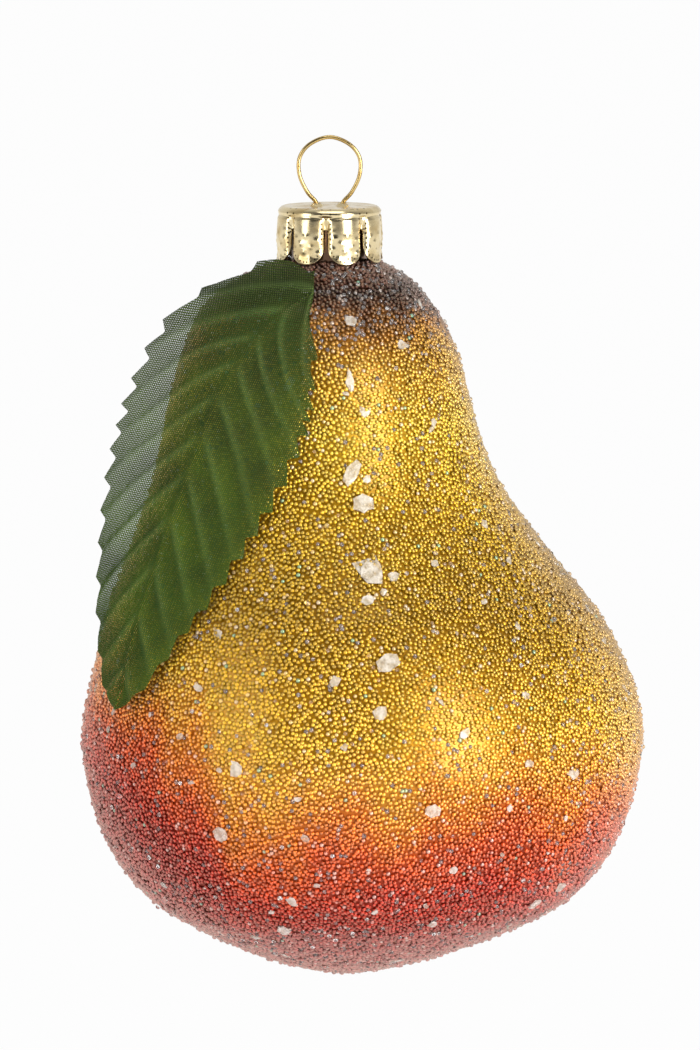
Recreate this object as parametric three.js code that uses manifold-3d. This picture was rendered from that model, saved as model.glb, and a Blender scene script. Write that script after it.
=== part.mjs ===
// A hanging glass pear: a blown shell with a crust of glass beads, a stamped crown cap on its neck,
// a spring wire hanger, a pressed fabric leaf on a dab of glue, and a few shell chips.
// Millimetres, +Z up, the camera side is -Y. The origin is where a hook carries the hanger's loop.
import * as THREE from 'three';
import { mergeVertices } from 'three/addons/utils/BufferGeometryUtils.js';
import Module from 'manifold-3d';

const wasm = await Module();
wasm.setup();

// Clearances
const SEAT_GAP = 0.3;            // between two pieces that touch
const SLOT_GAP = 0.3;            // round the wire in the cap's slots

// Hanger wire
const WIRE_RADIUS = 0.3;
const LOOP_WIDTH = 9.7;          // over the wire
const LOOP_HEIGHT = 9.7;         // from the hook point down to the cap's disc
const LEG_SPACING = 3.75;        // between the two legs where they pass the cap
const LEG_STRAIGHT = 4.6;        // straight part of each leg under the disc, for the cap's slide
const LEG_LENGTH = 23;           // below the disc
const LEG_END_SPREAD = 3.0;      // from the axis to each leg's end, inside the neck's bore
const THROAT_WIDTH = 4.05;       // between the two wires where they close in above the disc
const THROAT_HEIGHT = 0.55;      // above the disc
const WIRE_STEPS = 72;

// The loop's right half from near its top down: share of its half width, share of its height
const LOOP_SHAPE = [[0.62, 0.1], [0.96, 0.3], [0.96, 0.56], [0.72, 0.8]];

// Stamped cap
const CAP_RADIUS = 7.5;
const CAP_SHEET = 0.4;
const CAP_HEIGHT = 8.1;
const CAP_OVERLAP = 0.4;         // how far the tabs reach below the crust's top edge
const SPARE = 0.6;               // how far a cutter reaches past what it cuts
const CAP_EDGE_ROUND = 0.7;      // rolled edge between the disc and the band
const BAND_HEIGHT = 2.9;         // unslit part of the skirt
const TAB_COUNT = 8;
const TAB_GAP = 0.55;            // slit between two tabs
const TAB_STEP = 0.2;            // how far the tabs stand out from the band
const TAB_FLARE = 0.25;          // how far their ends turn out
const FLARE_HEIGHT = 0.8;
const TAB_TURN = 18.3;           // degrees from the camera side to the middle of one tab
const SLOT_LENGTH = 1.9;
const LIP_HEIGHT = 0.35;         // raised lip round each slot
const LIP_WALL = 0.35;
const CRIMP_DEPTH = 0.22;
const CRIMP_WIDTH = 0.9;
const DOT_RADIUS = 0.36;         // embossed dots on the tabs
const DOT_PROUD = 0.16;
const DOT_RING = 1.35;           // radius of the ring of dots on a tab
const DOT_FOOT = 2.75;           // from the tab's end to the middle of that ring
const DOTS_ON_RING = 5;
const DOT_SIDES = 5;
const DOT_TAPER = 0.5;           // share of a dot's radius that its top keeps
const CAP_SIDES = 56;

// Pear body
const PEAR_HEIGHT = 106.4;       // from the crust's edge under the cap to the bottom
const BELLY_RADIUS = 41.3;
const CRUST_THICKNESS = 0.8;     // glue and one layer of beads
const GLASS_WALL = 1.0;
const NECK_RADIUS = 5.7;         // glass tube under the cap
const NECK_WALL = 1.0;
const COLLAR_RADIUS = 6.5;       // bare glass inside the crust's top edge
const BULB_START = 0.5;          // how far outside the collar the bulb's curve begins
const NECK_FILLET = 1.2;         // where the neck spreads into the bulb
const RIM_ROUND = 0.2;
const SLOPE_PROBE = 0.4;         // span over which the slope of a curved surface is measured

// The pear's outline from under the cap to the bottom, as shares of its height and of the belly's
// radius, with how far each level's middle leans to the right, as a share of that radius too.
const OUTLINE = [
  [0.000, 0.157, 0.000],
  [0.014, 0.222, -0.006],
  [0.036, 0.336, -0.026],
  [0.073, 0.419, -0.038],
  [0.131, 0.488, -0.034],
  [0.212, 0.545, -0.034],
  [0.295, 0.601, -0.018],
  [0.393, 0.728, 0.026],
  [0.493, 0.876, 0.083],
  [0.574, 0.955, 0.113],
  [0.649, 1.000, 0.117],
  [0.727, 0.980, 0.114],
  [0.808, 0.911, 0.112],
  [0.880, 0.772, 0.106],
  [0.936, 0.520, 0.084],
  [0.978, 0.245, 0.060],
  [1.000, 0.000, 0.055],
];
const OUTLINE_STEPS = 21;
const PEAR_SIDES = 40;

// Pressed leaf
const LEAF_THICKNESS = 0.6;
const LEAF_HALF_WIDTH = 15.4;
const LEAF_BASE_TAPER = 0.55;    // how quickly the margins spread from the base
const LEAF_TIP_TAPER = 0.65;     // and close in to the tip
const LEAF_LIFT = 1.3;           // from the crust to the leaf, which leaves room for the glue
const LEAF_BEND = 60;            // radius that the leaf is bent to across
const LEAF_TOP_DROP = 3.2;       // the middle of the leaf's base below the crust's top edge
const LEAF_DROP = 60;            // how much lower the tip hangs than the base
const LEAF_TURN_TOP = 8;         // degrees from the camera side to where the leaf lies on the pear
const LEAF_TURN_TIP = 38;
const BASE_CUT = 2.0;            // half of the straight cut at the leaf's base
const VEIN_PAIRS = 15;
const VEIN_SWEEP = 0.12;         // share of the length that a vein runs forward on its way out
const VEIN_RELIEF = 0.3;
const TOOTH_DEPTH = 0.09;        // share of the half width between a tooth's tip and its notch
const LEAF_COLUMNS = 5;          // strips on each side of the midrib
const TIP_WIDTH = 0.7;           // across the blunt end of the tip
const VEIN_SETTLE = 0.2;         // share of the length over which the veins reach their full sweep
const FURROW_SHARE = 0.3;        // depth of a furrow between two veins, as a share of their relief
const RIB_WIDTH = 0.12;          // share of the half width that the raised midrib takes
const MIDRIB_SWAY = 14.5;        // farthest that the midrib curves away from where the leaf is seated

// The midrib: share of its sway, share of the leaf's drop
const MIDRIB = [[-0.05, 0], [0.32, 0.1], [0.57, 0.22], [0.73, 0.39], [0.9, 0.58], [1, 0.79], [0.97, 1]];

// Glue dab under the leaf's base
const GLUE_LENGTH = 4.8;
const GLUE_WIDTH = 2.88;
const GLUE_TURN = 12;            // degrees from the camera side
const GLUE_DROP = 0.055;         // share of the leaf's drop at the dab's middle
const GLUE_SIDES = 12;

// Shell chips: turn from the camera side in degrees, share of the pear's height, length, width, spin
const CHIP_THICKNESS = 0.3;
const CHIP_OUTLINE = [[-0.5, -0.2], [-0.1, -0.5], [0.42, -0.35], [0.5, 0.15], [0.1, 0.5], [-0.38, 0.35]];
const CHIPS = [
  [7, 0.51, 3.6, 2.6, 30],
  [10, 0.27, 4.2, 2.0, 60],
  [12, 0.31, 3.2, 2.8, 10],
  [8, 0.395, 3.0, 1.9, 75],
  [-30, 0.745, 2.2, 2.4, 20],
  [-20, 0.885, 2.2, 2.0, 50],
  [14, 0.705, 2.4, 2.0, 0],
  [47, 0.86, 2.0, 1.7, 35],
  [120, 0.45, 3.4, 2.3, 15],
  [165, 0.66, 3.8, 2.6, 70],
  [205, 0.30, 3.0, 2.2, 40],
  [250, 0.80, 3.2, 2.4, 5],
];

const COLOURS = {
  glass: [0xc9a24a, 0.12, 0.9],
  crust: [0xb8892b, 0.35, 0.2],
  cap: [0xd9c9a8, 0.3, 0.9],
  wire: [0xc8a86a, 0.3, 0.9],
  leaf: [0x1f3a22, 0.85, 0.0],
  glue: [0xe8e0c8, 0.4, 0.0],
  chip: [0xf0ece6, 0.25, 0.0],
};

// Levels that several pieces share
const DISC_TOP = -LOOP_HEIGHT;
const DISC_UNDERSIDE = DISC_TOP - CAP_SHEET;
const NECK_TOP = DISC_UNDERSIDE - SEAT_GAP;
const CRUST_TOP = DISC_TOP - CAP_HEIGHT + CAP_OVERLAP;

const rad = THREE.MathUtils.degToRad;

function named(name, geometry, look) {
  const [color, roughness, metalness] = COLOURS[look];
  const material = new THREE.MeshStandardMaterial({ color, roughness, metalness, flatShading: true });
  const mesh = new THREE.Mesh(geometry, material);
  mesh.name = name;
  return mesh;
}

// Booleans
function solid(geometry) {
  const bare = geometry.clone();
  bare.deleteAttribute('normal');
  bare.deleteAttribute('uv');
  const merged = mergeVertices(bare, 1e-5);
  return new wasm.Manifold(new wasm.Mesh({
    numProp: 3,
    vertProperties: new Float32Array(merged.attributes.position.array),
    triVerts: new Uint32Array(merged.index.array),
  }));
}

function fromSolid(manifold) {
  const mesh = manifold.getMesh();
  const geometry = new THREE.BufferGeometry();
  geometry.setAttribute('position', new THREE.BufferAttribute(mesh.vertProperties, 3));
  geometry.setIndex(new THREE.BufferAttribute(mesh.triVerts, 1));
  geometry.computeVertexNormals();
  return geometry;
}

function closedMesh(points, faces) {
  const geometry = new THREE.BufferGeometry();
  const corners = points.flatMap((p) => [p.x, p.y, p.z]);
  geometry.setAttribute('position', new THREE.Float32BufferAttribute(corners, 3));
  geometry.setIndex(faces.flat());
  geometry.computeVertexNormals();
  return geometry;
}

// A turned body about +Z from [radius, height] pairs that run down its outside.
function turned(profile, sides) {
  const points = profile.map(([radius, z]) => new THREE.Vector2(radius, z)).reverse();
  return new THREE.LatheGeometry(points, sides).rotateX(Math.PI / 2);
}

// The pear's outline as smooth curves: radius and lean by height.
const outlineCurve = new THREE.CatmullRomCurve3(
  OUTLINE.map(([drop, radius, lean]) => new THREE.Vector3(
    radius * BELLY_RADIUS, lean * BELLY_RADIUS, CRUST_TOP - drop * PEAR_HEIGHT)),
  false, 'centripetal');
const outlineSamples = outlineCurve.getSpacedPoints(OUTLINE_STEPS * 10);

// Outline moved outwards (+) or inwards (-) along its normal, as [radius, height] pairs, top first.
function offsetOutline(distance, steps = OUTLINE_STEPS) {
  const points = outlineCurve.getSpacedPoints(steps);
  return points.map((p, i) => {
    const before = points[Math.max(i - 1, 0)];
    const after = points[Math.min(i + 1, steps)];
    const along = new THREE.Vector2(after.x - before.x, after.z - before.z).normalize();
    if (i === steps) return [0, p.z - distance];
    return [p.x - along.y * distance, p.z + along.x * distance];
  });
}

function between(table, z) {
  const last = table.length - 1;
  if (z >= table[0][1]) return table[0][0];
  if (z <= table[last][1]) return table[last][0];
  const i = table.findIndex(([, height]) => height < z);
  const [r0, z0] = table[i - 1];
  const [r1, z1] = table[i];
  return r0 + (r1 - r0) * (z - z0) / (z1 - z0);
}

const leanTable = outlineSamples.map((p) => [p.y, p.z]);
const leanAt = (z) => between(leanTable, z);

// Shifts each level of a turned body sideways, so that it follows the pear's lean.
function leaning(geometry) {
  const position = geometry.attributes.position;
  for (let i = 0; i < position.count; i += 1) {
    position.setX(i, position.getX(i) + leanAt(position.getZ(i)));
  }
  return geometry;
}

// Direction away from the axis, turned from the camera side towards the left.
const outward = (turn) => new THREE.Vector3(-Math.sin(turn), -Math.cos(turn), 0);

// The bulb's walls, which start where the crust's inner side leaves the bare collar.
const crustInside = offsetOutline(-CRUST_THICKNESS);
const firstUnderCrust = crustInside.findIndex(([radius]) => radius > COLLAR_RADIUS + BULB_START);
const bulbWall = (distance) => offsetOutline(distance).slice(firstUnderCrust);

// Glass: the blown bulb with its open neck.
function glassPear() {
  const outside = bulbWall(-CRUST_THICKNESS - SEAT_GAP);
  const cavity = bulbWall(-CRUST_THICKNESS - SEAT_GAP - GLASS_WALL).reverse();
  const bore = NECK_RADIUS - NECK_WALL;
  const boreFoot = cavity.at(-1)[1] + NECK_FILLET;
  const fillet = NECK_FILLET * (1 - Math.SQRT1_2);
  return leaning(turned([
    ...cavity,
    [bore + fillet, boreFoot - fillet],
    [bore, boreFoot],
    [bore, CRUST_TOP],
    [bore, NECK_TOP - RIM_ROUND],
    [bore + RIM_ROUND, NECK_TOP],
    [NECK_RADIUS - RIM_ROUND, NECK_TOP],
    [NECK_RADIUS, NECK_TOP - RIM_ROUND],
    [NECK_RADIUS, CRUST_TOP],
    [NECK_RADIUS, outside[0][1] + NECK_FILLET],
    [NECK_RADIUS + fillet, outside[0][1] + fillet],
    ...outside,
  ], PEAR_SIDES));
}

// Crust: the layer of glue and glass beads that covers the bulb up to the cap.
function beadCrust() {
  const inside = bulbWall(-CRUST_THICKNESS);
  const edge = [[COLLAR_RADIUS, inside[0][1] + BULB_START], [COLLAR_RADIUS, CRUST_TOP]];
  return leaning(turned([...inside.reverse(), ...edge, ...offsetOutline(0).slice(1)], PEAR_SIDES));
}

// Cap
function capShell() {
  const round = CAP_EDGE_ROUND;
  const outer = [[0, 0]];
  for (const degrees of [90, 60, 30, 0]) {
    const a = rad(degrees);
    outer.push([CAP_RADIUS - round + round * Math.cos(a), -round + round * Math.sin(a)]);
  }
  const tabs = CAP_RADIUS + TAB_STEP;
  outer.push([CAP_RADIUS, -BAND_HEIGHT], [tabs, -BAND_HEIGHT - 2 * TAB_STEP]);
  outer.push([tabs, FLARE_HEIGHT - CAP_HEIGHT], [tabs + TAB_FLARE, -CAP_HEIGHT - SPARE]);
  const inner = outer.map(([r, z], i) => {
    if (i === 0) return [0, -CAP_SHEET];
    if (i === 1) return [CAP_RADIUS - round, -CAP_SHEET];
    return [r - CAP_SHEET, i < 4 ? z - CAP_SHEET / 2 : z];
  });
  return turned([...outer, ...inner.reverse()], CAP_SIDES).translate(0, 0, DISC_TOP);
}

// The gap between two scalloped tabs: a slit that opens round their ends.
function tabGap() {
  const pitch = 2 * Math.PI * (CAP_RADIUS + TAB_STEP) / TAB_COUNT;
  const tabRadius = (pitch - TAB_GAP) / 2;
  const foot = -CAP_HEIGHT;
  const side = pitch / 2 + SPARE;
  const slitTop = -BAND_HEIGHT - TAB_GAP / 2;
  const shape = new THREE.Shape();
  shape.moveTo(-TAB_GAP / 2, slitTop - TAB_GAP);
  shape.lineTo(0, slitTop);
  shape.lineTo(TAB_GAP / 2, slitTop - TAB_GAP);
  const scallop = [0, 18, 36, 54, 72, 90].map((degrees) => {
    const a = rad(degrees);
    return [pitch / 2 - tabRadius * Math.cos(a), foot + tabRadius * (1 - Math.sin(a))];
  });
  scallop.forEach(([x, z]) => shape.lineTo(x, z));
  shape.lineTo(side, foot);
  shape.lineTo(side, foot - 2 * SPARE);
  shape.lineTo(-side, foot - 2 * SPARE);
  shape.lineTo(-side, foot);
  [...scallop].reverse().forEach(([x, z]) => shape.lineTo(-x, z));
  const nearSide = CAP_RADIUS / 2;
  const cutter = new THREE.ExtrudeGeometry(shape, { depth: CAP_RADIUS, bevelEnabled: false });
  return cutter.rotateX(Math.PI / 2).translate(0, -nearSide, DISC_TOP);
}

function crimp() {
  const shape = new THREE.Shape();
  shape.moveTo(0, -CAP_RADIUS + CRIMP_DEPTH);
  shape.lineTo(CRIMP_WIDTH / 2, -CAP_RADIUS - CRIMP_DEPTH);
  shape.lineTo(-CRIMP_WIDTH / 2, -CAP_RADIUS - CRIMP_DEPTH);
  const depth = BAND_HEIGHT - CAP_EDGE_ROUND;
  const groove = new THREE.ExtrudeGeometry(shape, { depth, bevelEnabled: false });
  return groove.translate(0, 0, DISC_TOP - BAND_HEIGHT + CRIMP_DEPTH / 2);
}

function dotsOnTab() {
  const middle = DOT_FOOT - CAP_HEIGHT;
  const centres = [[0, middle]];
  for (let k = 0; k < DOTS_ON_RING; k += 1) {
    const a = rad(-90 + k * 360 / DOTS_ON_RING);
    centres.push([DOT_RING * Math.cos(a), middle + DOT_RING * Math.sin(a)]);
  }
  const wall = CAP_RADIUS + TAB_STEP;
  return centres.map(([across, z]) => {
    const depth = 2 * DOT_PROUD;
    const dot = new THREE.CylinderGeometry(DOT_RADIUS, DOT_RADIUS * DOT_TAPER, depth, DOT_SIDES, 1);
    return dot.translate(0, -wall, DISC_TOP + z).rotateZ(across / wall);
  });
}

function slot(side, wall, from, to) {
  const width = 2 * (WIRE_RADIUS + SLOT_GAP + wall);
  const box = new THREE.BoxGeometry(width, SLOT_LENGTH + 2 * wall, to - from);
  return box.translate(side * LEG_SPACING / 2, 0, (from + to) / 2);
}

function stampedCap() {
  let cap = solid(capShell());
  for (const side of [-1, 1]) {
    cap = cap.add(solid(slot(side, LIP_WALL, DISC_UNDERSIDE + CAP_SHEET / 2, DISC_TOP + LIP_HEIGHT)));
  }
  for (const side of [-1, 1]) {
    cap = cap.subtract(solid(slot(side, 0, DISC_UNDERSIDE - SPARE, DISC_TOP + LIP_HEIGHT + SPARE)));
  }
  for (let k = 0; k < TAB_COUNT; k += 1) {
    const tabTurn = rad(TAB_TURN + k * 360 / TAB_COUNT);
    const gapTurn = tabTurn + Math.PI / TAB_COUNT;
    cap = cap.subtract(solid(tabGap().rotateZ(gapTurn)));
    cap = cap.subtract(solid(crimp().rotateZ(gapTurn)));
    for (const dot of dotsOnTab()) cap = cap.add(solid(dot.rotateZ(tabTurn)));
  }
  return fromSolid(cap);
}

// Hanger: one length of spring wire, looped above the cap, with two legs that spread in the neck.
function hangerWire() {
  const half = LOOP_WIDTH / 2 - WIRE_RADIUS;
  const leg = LEG_SPACING / 2;
  const right = [
    ...LOOP_SHAPE.map(([x, drop]) => [x * half, WIRE_RADIUS - drop * (LOOP_HEIGHT + WIRE_RADIUS)]),
    [THROAT_WIDTH / 2, DISC_TOP + THROAT_HEIGHT],
    [leg, DISC_UNDERSIDE],
    [leg, DISC_TOP - LEG_STRAIGHT],
    [(leg + LEG_END_SPREAD) / 2, DISC_TOP - (LEG_STRAIGHT + LEG_LENGTH) / 2],
    [LEG_END_SPREAD, DISC_TOP - LEG_LENGTH],
  ];
  const points = [
    ...[...right].reverse().map(([x, z]) => new THREE.Vector3(-x, 0, z)),
    new THREE.Vector3(0, 0, WIRE_RADIUS),
    ...right.map(([x, z]) => new THREE.Vector3(x, 0, z)),
  ];
  const path = new THREE.CatmullRomCurve3(points, false, 'centripetal');
  const section = new THREE.Shape();
  section.absarc(0, 0, WIRE_RADIUS, 0, 2 * Math.PI);
  return new THREE.ExtrudeGeometry(section, {
    steps: WIRE_STEPS, curveSegments: 4, extrudePath: path, bevelEnabled: false,
  });
}

// Leaf surface. Each level of it is an arc that touches the pear and bends less than the pear does.
const leafTop = CRUST_TOP - LEAF_TOP_DROP;
const leafSeat = offsetOutline(LEAF_LIFT, OUTLINE_STEPS * 4).slice(1);
function leafSurface(across, z) {
  const share = (leafTop - z) / LEAF_DROP;
  const turn = rad(THREE.MathUtils.lerp(LEAF_TURN_TOP, LEAF_TURN_TIP, share));
  const radius = between(leafSeat, z);
  const middle = new THREE.Vector3(leanAt(z), 0, z);
  return middle.addScaledVector(outward(turn), radius - LEAF_BEND)
    .addScaledVector(outward(turn + across / LEAF_BEND), LEAF_BEND);
}

function leafNormal(across, z) {
  const step = SLOPE_PROBE / 2;
  const sideways = leafSurface(across + step, z).sub(leafSurface(across - step, z));
  const down = leafSurface(across, z - step).sub(leafSurface(across, z + step));
  return sideways.cross(down).normalize();
}

const midribCurve = new THREE.SplineCurve(
  MIDRIB.map(([sway, share]) => new THREE.Vector2(sway * MIDRIB_SWAY, leafTop - share * LEAF_DROP)));
const leafBulge = (share) => share ** LEAF_BASE_TAPER * (1 - share) ** LEAF_TIP_TAPER;
const widestShare = LEAF_BASE_TAPER / (LEAF_BASE_TAPER + LEAF_TIP_TAPER);
const leafWidth = (share) => LEAF_HALF_WIDTH * leafBulge(share) / leafBulge(widestShare);

// Leaf chart position: share along the midrib, distance across it, and height above the sheet.
function leafPoint(share, across, height) {
  const t = THREE.MathUtils.clamp(share, 0, 1);
  const rib = midribCurve.getPoint(t);
  const along = midribCurve.getTangent(t);
  const at = new THREE.Vector2(rib.x - along.y * across, rib.y + along.x * across);
  return leafSurface(at.x, at.y).addScaledVector(leafNormal(at.x, at.y), height);
}

// One point of the leaf's lower face: even rows run out along a vein to a tooth's tip, odd rows along
// a furrow to a notch. Side is -1 at the left margin, 0 at the midrib and 1 at the right margin.
function leafSkin(row, rows, side, height) {
  const onVein = row % 2 === 0;
  const start = row / rows;
  const reach = Math.abs(side);
  const sweep = VEIN_SWEEP * reach * (1 - start) * Math.min(1, start / VEIN_SETTLE);
  const share = Math.min(1, start + sweep);
  const least = row === rows ? TIP_WIDTH / 2 : BASE_CUT * (1 - start);
  const half = Math.max(leafWidth(share) * (onVein ? 1 : 1 - TOOTH_DEPTH), least);
  const fade = Math.sin(Math.PI * Math.min(1, reach + RIB_WIDTH));
  const relief = fade * VEIN_RELIEF * (onVein ? 1 : -FURROW_SHARE);
  return leafPoint(share, side * half, relief + height);
}

function pressedLeaf() {
  const rows = 2 * VEIN_PAIRS;
  const columns = 2 * LEAF_COLUMNS;
  const layers = [0, LEAF_THICKNESS].map((height) => {
    const points = [];
    for (let i = 0; i <= rows; i += 1) {
      for (let j = 0; j <= columns; j += 1) {
        points.push(leafSkin(i, rows, (j - LEAF_COLUMNS) / LEAF_COLUMNS, height));
      }
    }
    return points;
  });
  const width = columns + 1;
  const count = layers[0].length;
  const faces = [];
  const quad = (a, b, c, d) => faces.push([a, c, b], [a, d, c]);
  for (let i = 0; i < rows; i += 1) {
    for (let j = 0; j < columns; j += 1) {
      const a = i * width + j;
      quad(a, a + 1, a + width + 1, a + width);
      quad(count + a, count + a + width, count + a + width + 1, count + a + 1);
    }
  }
  for (let i = 0; i < rows; i += 1) {
    const left = i * width;
    const right = left + columns;
    quad(left, left + width, count + left + width, count + left);
    quad(right, count + right, count + right + width, right + width);
  }
  for (let j = 0; j < columns; j += 1) {
    const last = rows * width + j;
    quad(j, count + j, count + j + 1, j + 1);
    quad(last, last + 1, count + last + 1, count + last);
  }
  return closedMesh([...layers[0], ...layers[1]], faces);
}

// A thin plate that lies on the crust, from an outline in its own plane: chips and the glue dab.
function plateOnCrust(turnDegrees, z, outline, thickness, spin, gap) {
  const turn = rad(turnDegrees);
  const seat = offsetOutline(gap, OUTLINE_STEPS * 3);
  const radius = between(seat, z);
  const rise = between(seat, z - SLOPE_PROBE) - between(seat, z + SLOPE_PROBE);
  const slope = Math.atan2(rise, 2 * SLOPE_PROBE);
  const shape = new THREE.Shape(outline.map(([x, y]) => new THREE.Vector2(x, y)));
  const plate = new THREE.ExtrudeGeometry(shape, { depth: thickness, bevelEnabled: false });
  plate.rotateZ(rad(spin));
  plate.rotateX(Math.PI / 2 - slope);
  plate.rotateZ(-turn);
  const at = outward(turn).multiplyScalar(radius);
  return plate.translate(at.x + leanAt(z), at.y, z);
}

function chip([turn, share, length, width, spin]) {
  const outline = CHIP_OUTLINE.map(([x, y]) => [x * length, y * width]);
  return plateOnCrust(-turn, CRUST_TOP - share * PEAR_HEIGHT, outline, CHIP_THICKNESS, spin, SEAT_GAP);
}

function glueDab() {
  const outline = [];
  for (let k = 0; k < GLUE_SIDES; k += 1) {
    const a = 2 * Math.PI * k / GLUE_SIDES;
    outline.push([GLUE_LENGTH / 2 * Math.cos(a), GLUE_WIDTH / 2 * Math.sin(a)]);
  }
  const thickness = LEAF_LIFT - 2 * SEAT_GAP;
  return plateOnCrust(GLUE_TURN, leafTop - GLUE_DROP * LEAF_DROP, outline, thickness, 0, SEAT_GAP);
}

const ornament = new THREE.Group();
ornament.name = 'pear_ornament';

const pear = new THREE.Group();
pear.add(named('glass_pear', glassPear(), 'glass'));
pear.add(named('bead_crust', beadCrust(), 'crust'));
pear.add(named('leaf_glue', glueDab(), 'glue'));
CHIPS.forEach((entry, i) => {
  pear.add(named(`shell_chip_${String(i + 1).padStart(2, '0')}`, chip(entry), 'chip'));
});

ornament.add(named('hanger_wire', hangerWire(), 'wire'));
ornament.add(named('cap', stampedCap(), 'cap'));
ornament.add(pear);
ornament.add(named('leaf', pressedLeaf(), 'leaf'));

export default ornament;
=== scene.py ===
# A hanging glass pear under a crust of glass beads, with a stamped cap, a wire hanger and a fabric leaf.
# Metres, +Z up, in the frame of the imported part: its origin is where a hook carries the hanger's loop.
import math

import bmesh
import bpy
import numpy as np
from mathutils import Matrix, Vector
from mathutils.kdtree import KDTree


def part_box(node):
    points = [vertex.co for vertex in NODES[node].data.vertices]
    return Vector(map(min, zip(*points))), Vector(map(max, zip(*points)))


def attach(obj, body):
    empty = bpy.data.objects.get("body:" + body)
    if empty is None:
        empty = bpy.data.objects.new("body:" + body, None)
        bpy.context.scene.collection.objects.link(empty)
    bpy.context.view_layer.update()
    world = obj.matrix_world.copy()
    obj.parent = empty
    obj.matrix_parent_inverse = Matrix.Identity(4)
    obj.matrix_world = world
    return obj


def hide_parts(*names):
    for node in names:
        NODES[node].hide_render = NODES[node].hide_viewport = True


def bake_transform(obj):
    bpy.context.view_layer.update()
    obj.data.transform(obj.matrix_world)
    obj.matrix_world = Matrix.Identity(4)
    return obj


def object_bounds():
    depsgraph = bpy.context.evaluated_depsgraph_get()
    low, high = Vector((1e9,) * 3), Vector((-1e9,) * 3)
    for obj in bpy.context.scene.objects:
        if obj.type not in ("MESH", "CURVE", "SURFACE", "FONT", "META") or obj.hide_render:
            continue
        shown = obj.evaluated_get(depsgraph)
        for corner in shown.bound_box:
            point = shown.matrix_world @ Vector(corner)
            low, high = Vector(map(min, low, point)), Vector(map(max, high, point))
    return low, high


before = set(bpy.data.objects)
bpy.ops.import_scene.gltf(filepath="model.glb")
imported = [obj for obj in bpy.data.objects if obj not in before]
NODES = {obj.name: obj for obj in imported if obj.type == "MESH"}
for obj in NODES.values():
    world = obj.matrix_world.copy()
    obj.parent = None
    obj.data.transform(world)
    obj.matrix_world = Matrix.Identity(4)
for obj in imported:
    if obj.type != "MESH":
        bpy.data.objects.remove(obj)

MM = 0.001
TOUCH = 1e-6                     # points nearer than this are one
CAD_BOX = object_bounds()

# Camera: the photograph's viewing angle and framing
VIEW_ELEVATION = 7.5
VIEW_DISTANCE = 1000 * MM
VIEW_AIM = Vector((2.98, 0, -56.8)) * MM
VIEW_HEIGHT = 154.35 * MM        # what the picture's long side spans at the aim point
SENSOR = 36.0

# Stage
FLOOR_DROP = 250 * MM            # floor below the lowest point, since the ornament hangs
FLOOR_SIDE = 60.0
FLOOR_WHITE = 0.94
FLOOR_OWN_WHITE = 0.97           # share of the floor's white that takes no shadow
ROOM_LIGHT = 0.36
GLOSS_ROOM = ((0.0, 0.05), (0.35, 0.14), (0.52, 0.42), (0.72, 0.68), (1.0, 0.8))  # from the front back

# Bead crust
BEAD_RADIUS = 0.36 * MM
BEAD_SPREAD = 0.10               # share by which beads differ in size
BEAD_APART = 0.49 * MM           # least distance between two beads' middles
BEAD_TRIES = 7.0                 # tries at a place, for each square of that distance
BEAD_SINK = 0.27 * MM            # bead centres below the crust's outline, and the share by which it varies
SINK_SPREAD = 0.3
PROUD_SHARE = 0.06               # share of the beads that sit on others
PROUD_RISE = 0.26 * MM
BEAD_SQUASH = 0.9                # how much of its height a bead shows above the glue
LACQUER_SINK = 0.3 * MM          # lacquered glue line below the crust's outline
CRUST_EDGE = 0.8 * MM            # depth of the glue line's edge under the cap
BEAD_SECTORS = 12
CLEAR_HEIGHTS = (-123 * MM, -105 * MM, -80 * MM, -32 * MM, -26 * MM)
CLEAR_SHARES = (0.1, 0.06, 0.03, 0.03, 0.2)  # of the beads, with no colour under them
CLEAR_SECTORS = 4
LOOSE_BEADS = 110                # whole clear beads that stand on the crust
SEED = 11

# Shell flakes
FLAKE_COUNT = 230
FLAKE_SIZES = (0.5 * MM, 1.8 * MM)
FLAKE_THICKNESS = 0.14 * MM
FLAKE_SINK = 0.02 * MM           # below the crust's outline
FLAKE_STRAY = 0.09 * MM          # by which a large flake's points are uneven

# Larger flakes on the front: degrees to the right of the camera side, height, length and width
FLAKE_SPOTS = (
    (12, -33.4, 1.3, 4.0), (17, -37.7, 2.2, 1.8), (15, -47.0, 1.6, 1.3), (-26, -86.9, 2.8, 3.2),
    (21, -81.7, 2.0, 1.6), (47, -89.1, 2.6, 1.6), (-16, -106.6, 2.0, 2.4), (23, -118.8, 2.6, 1.8),
    (55, -107.1, 2.8, 1.8), (88, -88.7, 1.6, 1.4), (20, -101.7, 1.6, 1.2), (28, -58.9, 1.6, 1.4),
    (-5, -74.1, 1.5, 2.5), (4, -78.6, 2.5, 3.0), (35, -86.7, 1.8, 1.5), (31, -93.0, 1.5, 1.4),
    (39, -28.6, 2.4, 1.8), (16, -25.0, 2.2, 1.6), (47, -39.9, 1.6, 1.3), (37, -64.4, 1.4, 1.2),
    (37, -77.2, 1.6, 1.3), (75, -72.6, 1.5, 1.3), (-53, -106.6, 1.6, 1.4), (-32, -113.8, 1.8, 1.5),
    (19, -110.6, 1.8, 1.5), (59, -116.8, 1.5, 1.3), (-13, -90.8, 1.4, 1.2), (-53, -88.4, 1.5, 1.2),
    (-40, -83.1, 1.5, 1.2), (11, -62.3, 1.4, 1.1), (15, -60.3, 1.9, 2.1), (9.5, -59.2, 5.2, 4.6),
    (6.5, -63.2, 2.4, 1.9), (-12, -33.8, 1.5, 3.4),
)

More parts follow.
